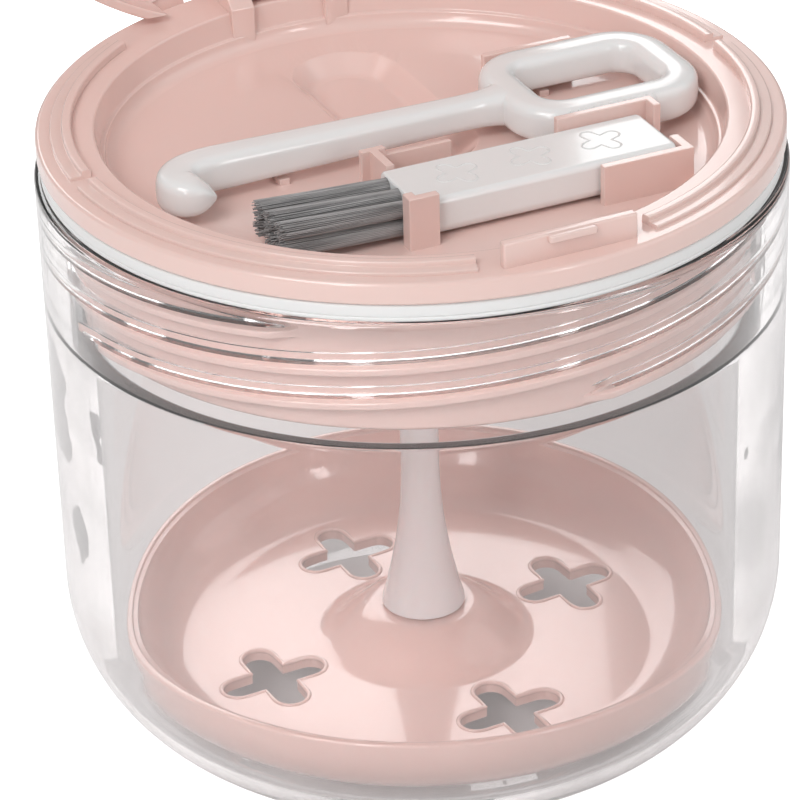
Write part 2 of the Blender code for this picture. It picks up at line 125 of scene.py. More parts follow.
# Basket, stem, brush and tool.
BASKET_R = 40.0
BASKET_RIM_Z = 18.3
BASKET_FLOOR_Z = 9.6
BASKET_UNDER_Z = 8.1
BASKET_FLAT_R = 30.0
BASKET_WALL = 1.5
BOSS_TOP_Z = 14.3
BOSS_TOP_R = 6.4
BOSS_FOOT_R = 15.0
HOLE_RING_R = 22.5
HOLE_ARM = 5.0
HOLE_START_DEG = 4.0
STEM_FOOT_Z = 14.6
STEM_FOOT_R = 5.7
STEM_FLARE_Z = 36.0
STEM_R = 2.55
BRUSH_X = (-10.6, 24.7)
BRUSH_Y = (-24.6, -13.9)
BRUSH_Z = (80.6, 85.6)
TUFT_PITCH_Y = 3.3
TUFT_PITCH_Z = 2.3
TUFT_BORE_R = 1.1
STRANDS = 110
RIM_STRANDS = 34
STRAND_R = 0.07
STRAND_SIDES = 5
MARK_X = (-2.7, 7.2, 16.9)
TOOL_Z = 83.8
SHAFT_Y = -0.6
LOOP_X = (13.8, 35.4)
LOOP_Y = (-9.0, 7.4)
LOOP_CORNER = 5.0
LOOP_HALF = 2.4
TEETH = 12
TOOTH_START_X = 17.2
TOOTH_PITCH = 1.05


# ---------------------------------------------------------------- mesh helpers


def add_mesh(name, points, faces, smooth_deg=32.0):
    mesh = bpy.data.meshes.new(name)
    mesh.from_pydata([tuple(c * MM for c in p) for p in points], [], faces)
    work = bmesh.new()
    work.from_mesh(mesh)
    bmesh.ops.recalc_face_normals(work, faces=work.faces)
    work.to_mesh(mesh)
    work.free()
    made = bpy.data.objects.new(name, mesh)
    bpy.context.scene.collection.objects.link(made)
    shade(made, smooth_deg)
    return made


def shade(obj, smooth_deg=32.0):
    obj.data.shade_smooth()
    obj.data.set_sharp_from_angle(angle=math.radians(smooth_deg))


def apply_modifiers(obj):
    graph = bpy.context.evaluated_depsgraph_get()
    result = bpy.data.meshes.new_from_object(obj.evaluated_get(graph))
    obj.modifiers.clear()
    obj.data = result


def combine(target, helper, operation):
    modifier = target.modifiers.new("shape", "BOOLEAN")
    modifier.operation = operation
    modifier.object = helper
    modifier.solver = "EXACT"
    apply_modifiers(target)
    bpy.data.objects.remove(helper)
    shade(target)


def bevel(obj, width, segments=3, angle=30.0):
    modifier = obj.modifiers.new("edges", "BEVEL")
    modifier.width = width * MM
    modifier.segments = segments
    modifier.limit_method = "ANGLE"
    modifier.angle_limit = math.radians(angle)
    apply_modifiers(obj)
    shade(obj, 40.0)


def join(name, pieces):
    """One object from several closed pieces."""
    work = bmesh.new()
    for piece in pieces:
        work.from_mesh(piece.data)
        bpy.data.objects.remove(piece)
    mesh = bpy.data.meshes.new(name)
    work.to_mesh(mesh)
    work.free()
    made = bpy.data.objects.new(name, mesh)
    bpy.context.scene.collection.objects.link(made)
    shade(made, 40.0)
    return made


def arc(centre, radius, start_deg, end_deg, steps):
    angles = [math.radians(start_deg + (end_deg - start_deg) * i / steps) for i in range(steps + 1)]
    return [(centre[0] + radius * math.cos(a), centre[1] + radius * math.sin(a)) for a in angles]


def rounded(corners, closed=False, steps=5):
    """A line through (x, y, fillet radius) corners, with each corner rounded by its radius."""
    count = len(corners)
    made = []
    for i, (x, y, radius) in enumerate(corners):
        here = Vector((x, y))
        if radius <= 0 or (not closed and i in (0, count - 1)):
            made.append((x, y))
            continue
        before = (Vector(corners[i - 1][:2]) - here).normalized()
        after = (Vector(corners[(i + 1) % count][:2]) - here).normalized()
        half = before.angle(after) / 2
        reach = radius / math.tan(half)
        centre = here + (before + after).normalized() * (radius / math.sin(half))
        first = here + before * reach - centre
        turn = first.angle_signed(here + after * reach - centre)
        for k in range(steps + 1):
            spoke = first.copy()
            spoke.rotate(Matrix.Rotation(-turn * k / steps, 2))
            made.append(tuple(centre + spoke))
    return made


def lathe(name, profile, steps=ROUND, closed=False):
    """A turned solid from a (radius, z) profile."""
    points, rings, faces = [], [], []
    for radius, z in profile:
        count = steps if radius > 1e-6 else 1
        rings.append(range(len(points), len(points) + count))
        for i in range(count):
            angle = 2 * math.pi * i / steps
            points.append((radius * math.cos(angle), radius * math.sin(angle), z))
    pairs = list(zip(rings, rings[1:]))
    if closed:
        pairs.append((rings[-1], rings[0]))
    for low, high in pairs:
        for i in range(steps):
            j = (i + 1) % steps
            corners = [low[i % len(low)], low[j % len(low)], high[j % len(high)], high[i % len(high)]]
            faces.append(list(dict.fromkeys(corners)))
    return add_mesh(name, points, faces)


def loft(name, outlines, closed=False):
    count = len(outlines[0])
    points = [p for outline in outlines for p in outline]
    faces = []
    if not closed:
        faces += [list(range(count)), list(range(len(points) - count, len(points)))]
    last = len(outlines) if closed else len(outlines) - 1
    for k in range(last):
        m = (k + 1) % len(outlines)
        for i in range(count):
            j = (i + 1) % count
            faces.append([k * count + i, k * count + j, m * count + j, m * count + i])
    return add_mesh(name, points, faces)


def block(name, x, y, z, edge=0.25):
    """A box with rounded edges."""
    outline = [(x[0], y[0]), (x[1], y[0]), (x[1], y[1]), (x[0], y[1])]
    made = loft(name, [[(px, py, level) for px, py in outline] for level in z])
    bevel(made, edge)
    return made


def prism_x(name, outline, x, edge=0.0):
    made = loft(name, [[(level, py, pz) for py, pz in outline] for level in x])
    if edge:
        bevel(made, edge, 2)
    return made


def tube(name, line, radius, sides=8, closed=False):
    """A round bar along a line of points."""
    count = len(line)
    outlines = []
    for i, here in enumerate(line):
        a = Vector(line[(i - 1) % count if closed else max(i - 1, 0)])
        b = Vector(line[(i + 1) % count if closed else min(i + 1, count - 1)])
        along = (b - a).normalized()
        side = along.cross(Vector((0, 0, 1))).normalized()
        up = side.cross(along)
        ring = []
        for k in range(sides):
            turn = 2 * math.pi * k / sides
            ring.append(tuple(Vector(here) + (side * math.cos(turn) + up * math.sin(turn)) * radius))
        outlines.append(ring)
    return loft(name, outlines, closed)


def thread_ridges(root_r, crest_r, base_z):
    """The four-start thread's ridges, each swept along its helix and run out at both ends."""
    count = round(THREAD_SWEEP_DEG / THREAD_STEP_DEG)
    outward = math.copysign(1.0, crest_r - root_r)
    section = rounded(
        (
            (root_r - 0.4 * outward, -0.9, 0),
            (root_r, -0.85, 0.15),
            (crest_r, -0.42, 0.2),
            (crest_r, 0.42, 0.2),
            (root_r, 0.85, 0.15),
            (root_r - 0.4 * outward, 0.9, 0),
        ),
        steps=3,
    )
    ridges = []
    for start in range(THREAD_STARTS):
        outlines = []
        for i in range(count + 1):
            turned = i * THREAD_STEP_DEG
            angle = math.radians(turned + 360.0 * start / THREAD_STARTS + THREAD_OFFSET_DEG)
            z = base_z + THREAD_LEAD * turned / 360.0
            rise = min(1.0, (i + 0.05) / 2, (count - i + 0.05) / 2)
            low_r = root_r - 0.4 * outward
            ring = []
            for r, dz in section:
                ring_r = low_r + (r - low_r) * rise
                ring.append((ring_r * math.cos(angle), ring_r * math.sin(angle), z + dz))
            outlines.append(ring)
        ridges.append(loft("ridge", outlines))
    return join("ridges", ridges)


def levels(low, high, step):
    count = max(1, round(abs(high - low) / step))
    return [low + (high - low) * i / count for i in range(count + 1)]


# ------------------------------------------------------------------- materials


class Nodes:
    """Short calls for a material's nodes."""

    def __init__(self, name):
        self.material = bpy.data.materials.new(name)
        self.material.use_nodes = True
        self.tree = self.material.node_tree
        self.shader = self.tree.nodes["Principled BSDF"]
        self.place = self.tree.nodes.new("ShaderNodeTexCoord").outputs["Object"]

    def noise(self, scale, detail=3.0, stretch=(1, 1, 1)):
        mapping = self.tree.nodes.new("ShaderNodeMapping")
        mapping.inputs["Scale"].default_value = stretch
        self.tree.links.new(self.place, mapping.inputs["Vector"])
        node = self.tree.nodes.new("ShaderNodeTexNoise")
        node.inputs["Scale"].default_value = scale
        node.inputs["Detail"].default_value = detail
        self.tree.links.new(mapping.outputs["Vector"], node.inputs["Vector"])
        return node.outputs["Fac"]

    def spread(self, value, low, high):
        node = self.tree.nodes.new("ShaderNodeMapRange")
        node.inputs["From Min"].default_value = 0.3
        node.inputs["From Max"].default_value = 0.7
        node.inputs["To Min"].default_value = low
        node.inputs["To Max"].default_value = high
        self.tree.links.new(value, node.inputs["Value"])
        return node.outputs["Result"]

    def blend(self, value, first, second):
        node = self.tree.nodes.new("ShaderNodeMix")
        node.data_type = "RGBA"
        node.inputs["A"].default_value = (*first, 1)
        node.inputs["B"].default_value = (*second, 1)
        self.tree.links.new(value, node.inputs["Factor"])
        return node.outputs["Result"]

    def bump(self, value, strength, distance):
        node = self.tree.nodes.new("ShaderNodeBump")
        node.inputs["Strength"].default_value = strength
        node.inputs["Distance"].default_value = distance
        self.tree.links.new(value, node.inputs["Height"])
        self.tree.links.new(node.outputs["Normal"], self.shader.inputs["Normal"])

    def plug(self, output, socket):
        self.tree.links.new(output, self.shader.inputs[socket])

    def set(self, **values):
        for socket, value in values.items():
            self.shader.inputs[socket.replace("_", " ")].default_value = value


def moulded(name, light, dark, roughness, fine=900.0, bump=0.08, coat=0.0, glow=0.0):
    """Injection-moulded plastic: slight mottling, uneven gloss and a very fine skin."""
    made = Nodes(name)
    made.plug(made.blend(made.spread(made.noise(38.0, 0.0), 0, 1), light, dark), "Base Color")
    made.plug(made.spread(made.noise(90.0, 1.0), roughness * 0.92, roughness * 1.1), "Roughness")
    made.bump(made.noise(fine, 2.0), bump, 0.0001)
    made.set(IOR=1.5)
    if coat:
        made.set(Coat_Weight=coat, Coat_Roughness=0.06)
    if glow:
        made.set(Subsurface_Weight=glow, Subsurface_Scale=0.004, Subsurface_Radius=(1.0, 0.45, 0.4))
    return made.material


def clear_plastic():
    """Clear moulded plastic: faint haze and flow waviness, and a smoky tone that deepens with thickness."""
    made = Nodes("clear_plastic")
    cloud = made.spread(made.noise(18.0), 0, 1)
    made.plug(made.blend(cloud, (0.96, 0.952, 0.952), (0.94, 0.93, 0.93)), "Base Color")
    made.plug(made.spread(made.noise(60.0), 0.0, 0.02), "Roughness")
    made.bump(made.noise(26.0, 1.0, (1, 1, 0.4)), 0.01, 0.0004)
    made.set(Transmission_Weight=1.0, IOR=1.42, Coat_Weight=0.8, Coat_Roughness=0.02)
    nodes, links = made.tree.nodes, made.tree.links
    smoke = nodes.new("ShaderNodeVolumeAbsorption")
    smoke.inputs["Color"].default_value = (0.5, 0.44, 0.44, 1)
    smoke.inputs["Density"].default_value = 19.0
    links.new(smoke.outputs["Volume"], nodes["Material Output"].inputs["Volume"])
    see_through = nodes.new("ShaderNodeBsdfTransparent")
    see_through.inputs["Color"].default_value = (0.96, 0.95, 0.95, 1)
    paths = nodes.new("ShaderNodeLightPath")
    mix = nodes.new("ShaderNodeMixShader")
    links.new(paths.outputs["Is Shadow Ray"], mix.inputs[0])
    links.new(made.shader.outputs["BSDF"], mix.inputs[1])
    links.new(see_through.outputs["BSDF"], mix.inputs[2])
    links.new(mix.outputs["Shader"], nodes["Material Output"].inputs["Surface"])
    return made.material


def brushed_steel():
    made = Nodes("brushed_steel")
    grain = made.noise(220.0, 4.0, (1, 14, 14))
    made.plug(made.blend(made.spread(grain, 0, 1), (0.55, 0.55, 0.56), (0.7, 0.7, 0.72)), "Base Color")
    made.plug(made.spread(grain, 0.2, 0.36), "Roughness")
    made.bump(grain, 0.2, 0.00005)
    made.set(Metallic=1.0)
    return made.material


def filament():
    made = Nodes("bristle_nylon")
    along = made.noise(500.0, 3.0, (0.1, 4, 4))
    made.plug(made.blend(made.spread(along, 0, 1), (0.2, 0.195, 0.195), (0.5, 0.49, 0.49)), "Base Color")
    made.plug(made.spread(along, 0.3, 0.45), "Roughness")
    return made.material


pink = moulded("pink_plastic", (0.825, 0.60, 0.55), (0.812, 0.586, 0.536), 0.24, coat=0.6, glow=0.1)
basket_pink = moulded("basket_pink", (0.825, 0.585, 0.535), (0.812, 0.57, 0.52), 0.18, coat=0.9, glow=0.1)
white = moulded("white_plastic", (0.83, 0.825, 0.82), (0.815, 0.81, 0.805), 0.2, coat=0.3, glow=0.05)
pearl = moulded("pearl_plastic", (0.84, 0.80, 0.80), (0.80, 0.75, 0.755), 0.14, coat=0.6, glow=0.2)
silicone = moulded("silicone", (0.84, 0.835, 0.83), (0.80, 0.795, 0.79), 0.42, bump=0.15, glow=0.05)
clear = clear_plastic()
steel = brushed_steel()
nylon = filament()


def even_normals(obj):
    """Weights normals by face area, so that broad faces stay flat beside small rounded edges."""
    modifier = obj.modifiers.new("normals", "WEIGHTED_NORMAL")
    modifier.keep_sharp = True
    modifier.weight = 80
    apply_modifiers(obj)


def place(obj, body, look, slot, *nodes):
    if look is not nylon:
        even_normals(obj)
    obj.data.materials.clear()
    obj.data.materials.append(look)
    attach(obj, body)
    if nodes:
        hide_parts(*nodes)
    return obj


# ---------------------------------------------------------------------- pieces


def make_jar():
    corner = arc((JAR_R - JAR_CORNER_R, JAR_CORNER_R), JAR_CORNER_R, -90, 0, 26)
    inner_centre = (JAR_BORE_R - JAR_INNER_CORNER_R, JAR_FLOOR_Z + JAR_INNER_CORNER_R)
    inner_corner = arc(inner_centre, JAR_INNER_CORNER_R, 0, -90, 18)
    rim = rounded(((JAR_R, 60, 0), (JAR_R, JAR_RIM_Z, 0.8), (NECK_R, JAR_RIM_Z, 0.5), (NECK_R, 70, 0)))
    base_r = JAR_R - JAR_CORNER_R
    # The extra rings beside each curve keep the long straight walls' normals straight.
    profile = [(0, 0), (12, 0), (base_r - 0.5, 0)] + corner
    profile += [(JAR_R, JAR_CORNER_R + 0.5), (JAR_R, 78.8)] + rim[1:-1]
    ledge = rounded(
        ((NECK_R, 66, 0), (NECK_R, NECK_LEDGE_Z, 0.3), (JAR_BORE_R, NECK_LEDGE_Z, 1.5), (JAR_BORE_R, 50, 0))
    )
    inner_base_r = JAR_BORE_R - JAR_INNER_CORNER_R
    profile += [(NECK_R, 79.2), (NECK_R, 63.5)] + ledge[1:-1]
    profile += [(JAR_BORE_R, 60.6), (JAR_BORE_R, 17.5)] + inner_corner
    profile += [(inner_base_r - 0.5, JAR_FLOOR_Z), (12, JAR_FLOOR_Z), (0, JAR_FLOOR_Z)]
    jar = lathe("jar_body", profile)
    half_pitch = THREAD_LEAD / THREAD_STARTS / 2
    combine(jar, thread_ridges(NECK_R, JAR_THREAD_CREST_R, LID_THREAD_BASE_Z + half_pitch), "UNION")
    place(jar, "cup", clear, "clear_plastic", "cup")


def make_seal():
    corners = (
        (43.4, 80.34, 0.2),
        (46.7, 80.34, 0.3),
        (46.7, 80.85, 0.15),
        (46.45, 80.95, 0.1),
        (46.7, 81.1, 0.15),
        (46.7, 82.62, 0.45),
        (43.4, 82.62, 0.3),
    )
    ring = lathe("seal_ring_soft", rounded(corners, True), closed=True)
    place(ring, "seal_ring", silicone, "silicone", "seal_ring")


def obround(y_pair, radius, z):
    low, high = y_pair
    flat = arc((SCOOP_X, high), radius, 0, 180, 20) + arc((SCOOP_X, low), radius, 180, 360, 20)
    return [(px, py, z) for px, py in flat]


def make_lid_shell():
    corners = [
        (0, TRAY_UNDER_Z, 0),
        (SKIRT_INNER_R, TRAY_UNDER_Z, 1.0),
        (SKIRT_INNER_R, SKIRT_END_Z, 0.3),
        (SKIRT_R, SKIRT_END_Z, 0.5),
        (SKIRT_R, 70, 0),
    ]
    profile = rounded(corners)[:-1]
    corners = [
        (SKIRT_R, 79, 0),
        (SKIRT_R, FLANGE_UNDER_Z, 0.4),
        (LID_R, FLANGE_UNDER_Z, 0.35),
        (LID_R, LAND_Z, 0.55),
        (TRAY_RIM_R, LAND_Z, 0.35),
        (TRAY_STEP_R + 0.25, TRAY_STEP_Z, 0.25),
        (TRAY_STEP_R - 0.25, TRAY_STEP_Z - 0.1, 0.2),
        (TRAY_STEP_R - 0.35, TRAY_FLOOR_Z, 1.6),
        (30, TRAY_FLOOR_Z, 0),
        (0, TRAY_FLOOR_Z, 0),
    ]
    profile += rounded(corners)[1:]
    lid = lathe("lid_shell", profile)
    pad = [obround(SCOOP_Y, SCOOP_PAD_R, z) for z in (TRAY_FLOOR_Z - 4.0, TRAY_UNDER_Z + 0.5)]
    combine(lid, loft("pad", pad), "UNION")
    cutter = loft("scoop", [obround(SCOOP_Y, r, TRAY_FLOOR_Z + dz) for dz, r in SCOOP_STEPS])
    combine(lid, cutter, "DIFFERENCE")
    combine(lid, thread_ridges(SKIRT_R, LID_THREAD_CREST_R, LID_THREAD_BASE_Z), "UNION")
    shade(lid, 38.0)
    place(lid, "lid", pink, "pink_plastic", "lid")


def ridge_span(start_deg, end_deg):
    corners = (
        (42.4, LAND_Z - 0.3, 0),
        (45.1, LAND_Z - 0.3, 0),
        (45.1, LAND_Z + 0.45, 0.18),
        (43.6, LAND_Z + 0.45, 0.12),
        (43.6, LAND_Z + 1.1, 0.22),
        (42.4, LAND_Z + 1.1, 0.3),
    )
    section = rounded(corners, True, 3)
    steps = round((end_deg - start_deg) / 1.5)
    outlines = []
    for i in range(steps + 1):
        angle = math.radians(start_deg + (end_deg - start_deg) * i / steps)
        outlines.append([(r * math.cos(angle), r * math.sin(angle), z) for r, z in section])
    return loft("ridge", outlines)


def tray_walls():
    """The walls and posts of the tray, each a group of joined (x, y, top z) boxes."""
    near, far = BRUSH_Y[0] - 0.3, BRUSH_Y[1] + 0.3
    left, right = BRUSH_X[0] - 0.3, BRUSH_X[1] + 0.3
    return (
        (
            ((left - 1.3, -8.2), (near - 1.1, near), 87.1),
            ((left - 1.3, left), (near - 0.6, near + 1.0), 87.1),
        ),
        (
            ((13.8, right + 1.2), (near - 1.1, near), 85.5),
            ((right, right + 1.2), (near - 0.6, near + 3.2), 85.5),
        ),
        (((13.7, 27.2), (far, far + 1.0), 86.8), ((26.2, 27.2), (far - 1.9, far + 0.5), 86.8)),
        (((15.4, 28.2), (10.7, 11.7), 85.3),),
        (
            ((-10.7, -7.5), (-8.9, -7.9), 85.7),
            ((-9.6, -8.5), (far, -8.4), 85.7),
            ((-8.0, 1.5), (-8.7, -8.0), 84.6),
        ),
        (((21.0, 22.4), (-10.8, -7.4), 81.1),),
        (((21.0, 22.4), (5.8, 9.0), 81.1),),
        (((-19.0, -17.6), (-2.4, 1.4), 81.1),),
    )


def wall_group(boxes):
    made = None
    for x, y, top in boxes:
        corners = [(x[0], y[0]), (x[1], y[0]), (x[1], y[1]), (x[0], y[1])]
        piece = loft("wall", [[(px, py, z) for px, py in corners] for z in (TRAY_FLOOR_Z - WALL_SINK, top)])
        if made:
            combine(made, piece, "UNION")
        else:
            made = piece
    bevel(made, 0.16)
    return made


def hinge_bore(x):
    return prism_x("bore", arc((HINGE_Y, HINGE_Z), HINGE_BORE_R, 0, 345, 23), x)


def ear(side):
    """A hinge ear with a blind bore, which runs down the tray's wall as a rib."""
    outline = [(HINGE_Y + EAR_R, LAND_Z - 0.4)] + arc((HINGE_Y, HINGE_Z), EAR_R, 0, 180, 18)
    outline += [(EAR_FRONT_Y, LAND_Z + 0.6), (EAR_FRONT_Y, TRAY_FLOOR_Z - 0.3)]
    outline += [(EAR_BACK_Y, TRAY_FLOOR_Z - 0.3), (EAR_BACK_Y, LAND_Z - 0.4)]
    made = prism_x("ear", outline, sorted(side * x for x in EAR_X), 0.2)
    combine(made, hinge_bore(sorted(side * x for x in EAR_BORE_X)), "DIFFERENCE")
    return made


def make_lid():
    make_lid_shell()
    ridges = join("lid_ridge", [ridge_span(a, b) for a, b in RIDGE_SPANS_DEG])
    place(ridges, "lid", pink, "pink_plastic", "lid")
    walls = [wall_group(boxes) for boxes in tray_walls()]
    place(join("tray_walls", walls), "lid", pink, "pink_plastic", "lid")
    tab = [
        block("tab", (-TAB_HALF, TAB_HALF), TAB_Y, (LAND_Z - 0.35, TAB_TOP_Z), 0.28),
        block("lip", (-LIP_HALF, LIP_HALF), (-44.95, -44.0), (87.6, TAB_TOP_Z - 0.15), 0.22),
    ]
    place(join("latch_tab", tab), "lid", pink, "pink_plastic", "lid")
    place(join("hinge_ears", [ear(-1), ear(1)]), "lid", pink, "pink_plastic", "lid")
    corners = ((3.1, 76.7, 0), (3.1, 73.6, 0.3), (5.0, 73.6, 0.5), (5.0, 76.7, 0))
    socket = lathe("stem_socket", rounded(corners, True), 64, closed=True)
    place(socket, "lid", pink, "pink_plastic", "lid")


def cutting_slab(half, y, z):
    far = COVER_R + 2.0
    corners = ((-half, y), (half, y), (half, far), (-half, far))
    return loft("slab", [[(px, py, level) for px, py in corners] for level in z])


def make_cover():
    corners = (
        (0, COVER_CEILING_Z, 0),
        (COVER_SKIRT_R, COVER_CEILING_Z, 0.8),
        (COVER_SKIRT_R, COVER_BOTTOM_Z, 0.3),
        (COVER_R, COVER_BOTTOM_Z, 0.4),
        (COVER_R, COVER_TOP_Z, 1.6),
        (0, COVER_TOP_Z, 0),
    )
    line = rounded(corners, steps=7)
    profile = line[:1] + [(20, COVER_CEILING_Z)] + line[1:-1] + [(20, COVER_TOP_Z)] + line[-1:]
    cover = lathe("flip_cover", profile)
    below = COVER_BOTTOM_Z - 1.05
    combine(cover, cutting_slab(COVER_R + 2.0, COVER_CUT_Y, (below, COVER_CEILING_Z)), "DIFFERENCE")
    whole = (below, COVER_TOP_Z + 1.0)
    combine(cover, cutting_slab(COVER_NOTCH_HALF, COVER_NOTCH_Y, whole), "DIFFERENCE")
    web = arc((HINGE_Y, HINGE_Z), KNUCKLE_R, 180, 360, 20)
    web += [(COVER_CUT_Y + 0.2, COVER_CEILING_Z + 0.5), (HINGE_Y - 2.6, COVER_CEILING_Z + 0.5)]
    combine(cover, prism_x("knuckle", web, (-KNUCKLE_HALF, KNUCKLE_HALF), 0.25), "UNION")
    combine(cover, hinge_bore((-6.0, 6.0)), "DIFFERENCE")
    pivot = Vector((0, HINGE_Y, HINGE_Z)) * MM
    turn = Matrix.Rotation(-math.radians(COVER_OPEN_DEG), 4, "X")
    cover.data.transform(Matrix.Translation(pivot) @ turn @ Matrix.Translation(-pivot))
    shade(cover, 38.0)
    place(cover, "cover", pink, "pink_plastic", "cover")


def cross(centre, turn_deg, arm, lobe, neck, steps=10):
    """A rounded four-lobed outline."""
    points = []
    for k in range(4):
        facing = turn_deg + 90 * k
        tip = (arm * math.cos(math.radians(facing)), arm * math.sin(math.radians(facing)))
        points += arc(tip, lobe, facing - 90, facing + 90, steps)
        middle = math.radians(facing + 45)
        inner = neck * math.sqrt(2)
        corner = (inner * math.cos(middle), inner * math.sin(middle))
        points.append(corner)
    return [(centre[0] + px, centre[1] + py) for px, py in points]


def bowl_line(run, top_z, bottom_z, steps=22):
    """A quarter of an ellipse, from the flat floor's edge up to the wall."""
    made = []
    for i in range(steps + 1):
        angle = math.radians(90 * i / steps)
        made.append((BASKET_FLAT_R + run * math.sin(angle), top_z - (top_z - bottom_z) * math.cos(angle)))
    return made


def make_basket():
    run = BASKET_R - BASKET_FLAT_R
    outer = bowl_line(run, BASKET_RIM_Z - 0.35, BASKET_UNDER_Z)
    inner = bowl_line(run - BASKET_WALL, BASKET_RIM_Z - 0.5, BASKET_FLOOR_Z)
    corners = (
        (BASKET_R, 17.9, 0),
        (BASKET_R, BASKET_RIM_Z, 0.3),
        (39.2, BASKET_RIM_Z, 0.2),
        (39.1, 17.95, 0.1),
        (38.5, 17.9, 0),
    )
    rim = rounded(corners)
    boss = []
    boss_steps = 24
    for i in range(boss_steps + 1):
        share = i / boss_steps
        rise = (BOSS_TOP_Z - BASKET_FLOOR_Z) * (1 - math.cos(math.pi * share)) / 2
        boss.append((BOSS_FOOT_R - (BOSS_FOOT_R - BOSS_TOP_R) * share, BASKET_FLOOR_Z + rise))
    profile = [(0, BASKET_UNDER_Z), (14, BASKET_UNDER_Z)] + outer + rim[1:-1]
    profile += inner[::-1] + boss + [(0, BOSS_TOP_Z)]
    basket = lathe("basket_bowl", profile)
    lips = []
    for i in range(4):
        turn = HOLE_START_DEG + 90 * i
        angle = math.radians(turn)
        centre = (HOLE_RING_R * math.cos(angle), HOLE_RING_R * math.sin(angle))
        outline = cross(centre, turn, HOLE_ARM, 2.1, 2.2)
        cutter = loft("hole", [[(px, py, z) for px, py in outline] for z in (BASKET_UNDER_Z - 1, 12.0)])
        combine(basket, cutter, "DIFFERENCE")
        edge = cross(centre, turn, HOLE_ARM, 2.32, 2.35)
        lips.append(tube("lip", [(px, py, BASKET_FLOOR_Z - 0.12) for px, py in edge], 0.34, 10, True))
    shade(basket, 38.0)
    place(basket, "basket", basket_pink, "pink_plastic", "basket")
    place(join("drain_hole_lips", lips), "basket", basket_pink, "pink_plastic", "basket")


def make_stem():
    flare = []
    steps = 30
    for i in range(steps + 1):
        share = i / steps
        radius = STEM_R + (STEM_FOOT_R - STEM_R) * (1 - share) ** 2
        flare.append((radius, STEM_FOOT_Z + (STEM_FLARE_Z - STEM_FOOT_Z) * share))
    corners = ((STEM_R, 60, 0), (STEM_R, 72.6, 0.1), (2.8, 73.0, 0.1), (2.8, 76.0, 0.4), (0, 76.0, 0))
    profile = [(0, STEM_FOOT_Z), (5.2, STEM_FOOT_Z), (5.55, STEM_FOOT_Z + 0.08)]
    profile += flare[1:] + rounded(corners)[1:]
    place(lathe("basket_stem", profile, 96), "basket", pearl, "pearl_plastic", "stem")


def tuft_places():
    mid_y = sum(BRUSH_Y) / 2
    mid_z = sum(BRUSH_Z) / 2
    rows = (mid_z - TUFT_PITCH_Z / 2, mid_z + TUFT_PITCH_Z / 2)
    return [(mid_y + TUFT_PITCH_Y * k, z) for z in rows for k in (-1, 0, 1)]


def make_handle():
    (y0, y1), (z0, z1) = BRUSH_Y, BRUSH_Z
    corners = ((y0, z0, 1.5), (y1, z0, 1.5), (y1, z1, 0.9), (y0, z1, 0.9))
    outline = rounded(corners, True, 8)
    mid_y, mid_z = sum(BRUSH_Y) / 2, sum(BRUSH_Z) / 2
    stations = (
        (BRUSH_X[0], 0.35),
        (BRUSH_X[0] + 0.1, 0.12),
        (BRUSH_X[0] + 0.35, 0.0),
        (BRUSH_X[1] - 0.5, 0.0),
        (BRUSH_X[1] - 0.15, 0.15),
        (BRUSH_X[1], 0.5),
    )
    outlines = []
    for x, inset in stations:
        wide = 1 - 2 * inset / (y1 - y0)
        tall = 1 - 2 * inset / (z1 - z0)
        outlines.append([(x, mid_y + (y - mid_y) * wide, mid_z + (z - mid_z) * tall) for y, z in outline])
    handle = loft("brush_grip", outlines)
    for y, z in tuft_places():
        rings = []
        for x in (BRUSH_X[0] - 1, BRUSH_X[0] + 8):
            angles = [2 * math.pi * k / 32 for k in range(32)]
            rings.append([(x, y + TUFT_BORE_R * math.cos(a), z + TUFT_BORE_R * math.sin(a)) for a in angles])
        combine(handle, loft("bore", rings), "DIFFERENCE")
    shade(handle, 38.0)
    place(handle, "brush", white, "white_plastic", "brush_handle")
    marks = []
    for x in MARK_X:
        outline = cross((x, mid_y + 0.2), 22.0, 2.1, 0.95, 0.95, 8)
        marks.append(tube("mark", [(px, py, z1 - 0.12) for px, py in outline], 0.2, 8, True))
    place(join("grip_marks", marks), "brush", white, "white_plastic", "brush_handle")


def add_strand(points, faces, line):
    """Adds one thin closed filament through the line's points to a mesh in the making."""
    first = len(points)
    for x, y, z in line:
        for k in range(STRAND_SIDES):
            turn = 2 * math.pi * k / STRAND_SIDES
            points.append((x, y + STRAND_R * math.cos(turn), z + STRAND_R * math.sin(turn)))
    last = first + (len(line) - 1) * STRAND_SIDES
    faces.append([first + k for k in range(STRAND_SIDES)])
    faces.append([last + k for k in range(STRAND_SIDES)])
    for a in range(first, last, STRAND_SIDES):
        for k in range(STRAND_SIDES):
            m = (k + 1) % STRAND_SIDES
            faces.append([a + k, a + m, a + STRAND_SIDES + m, a + STRAND_SIDES + k])


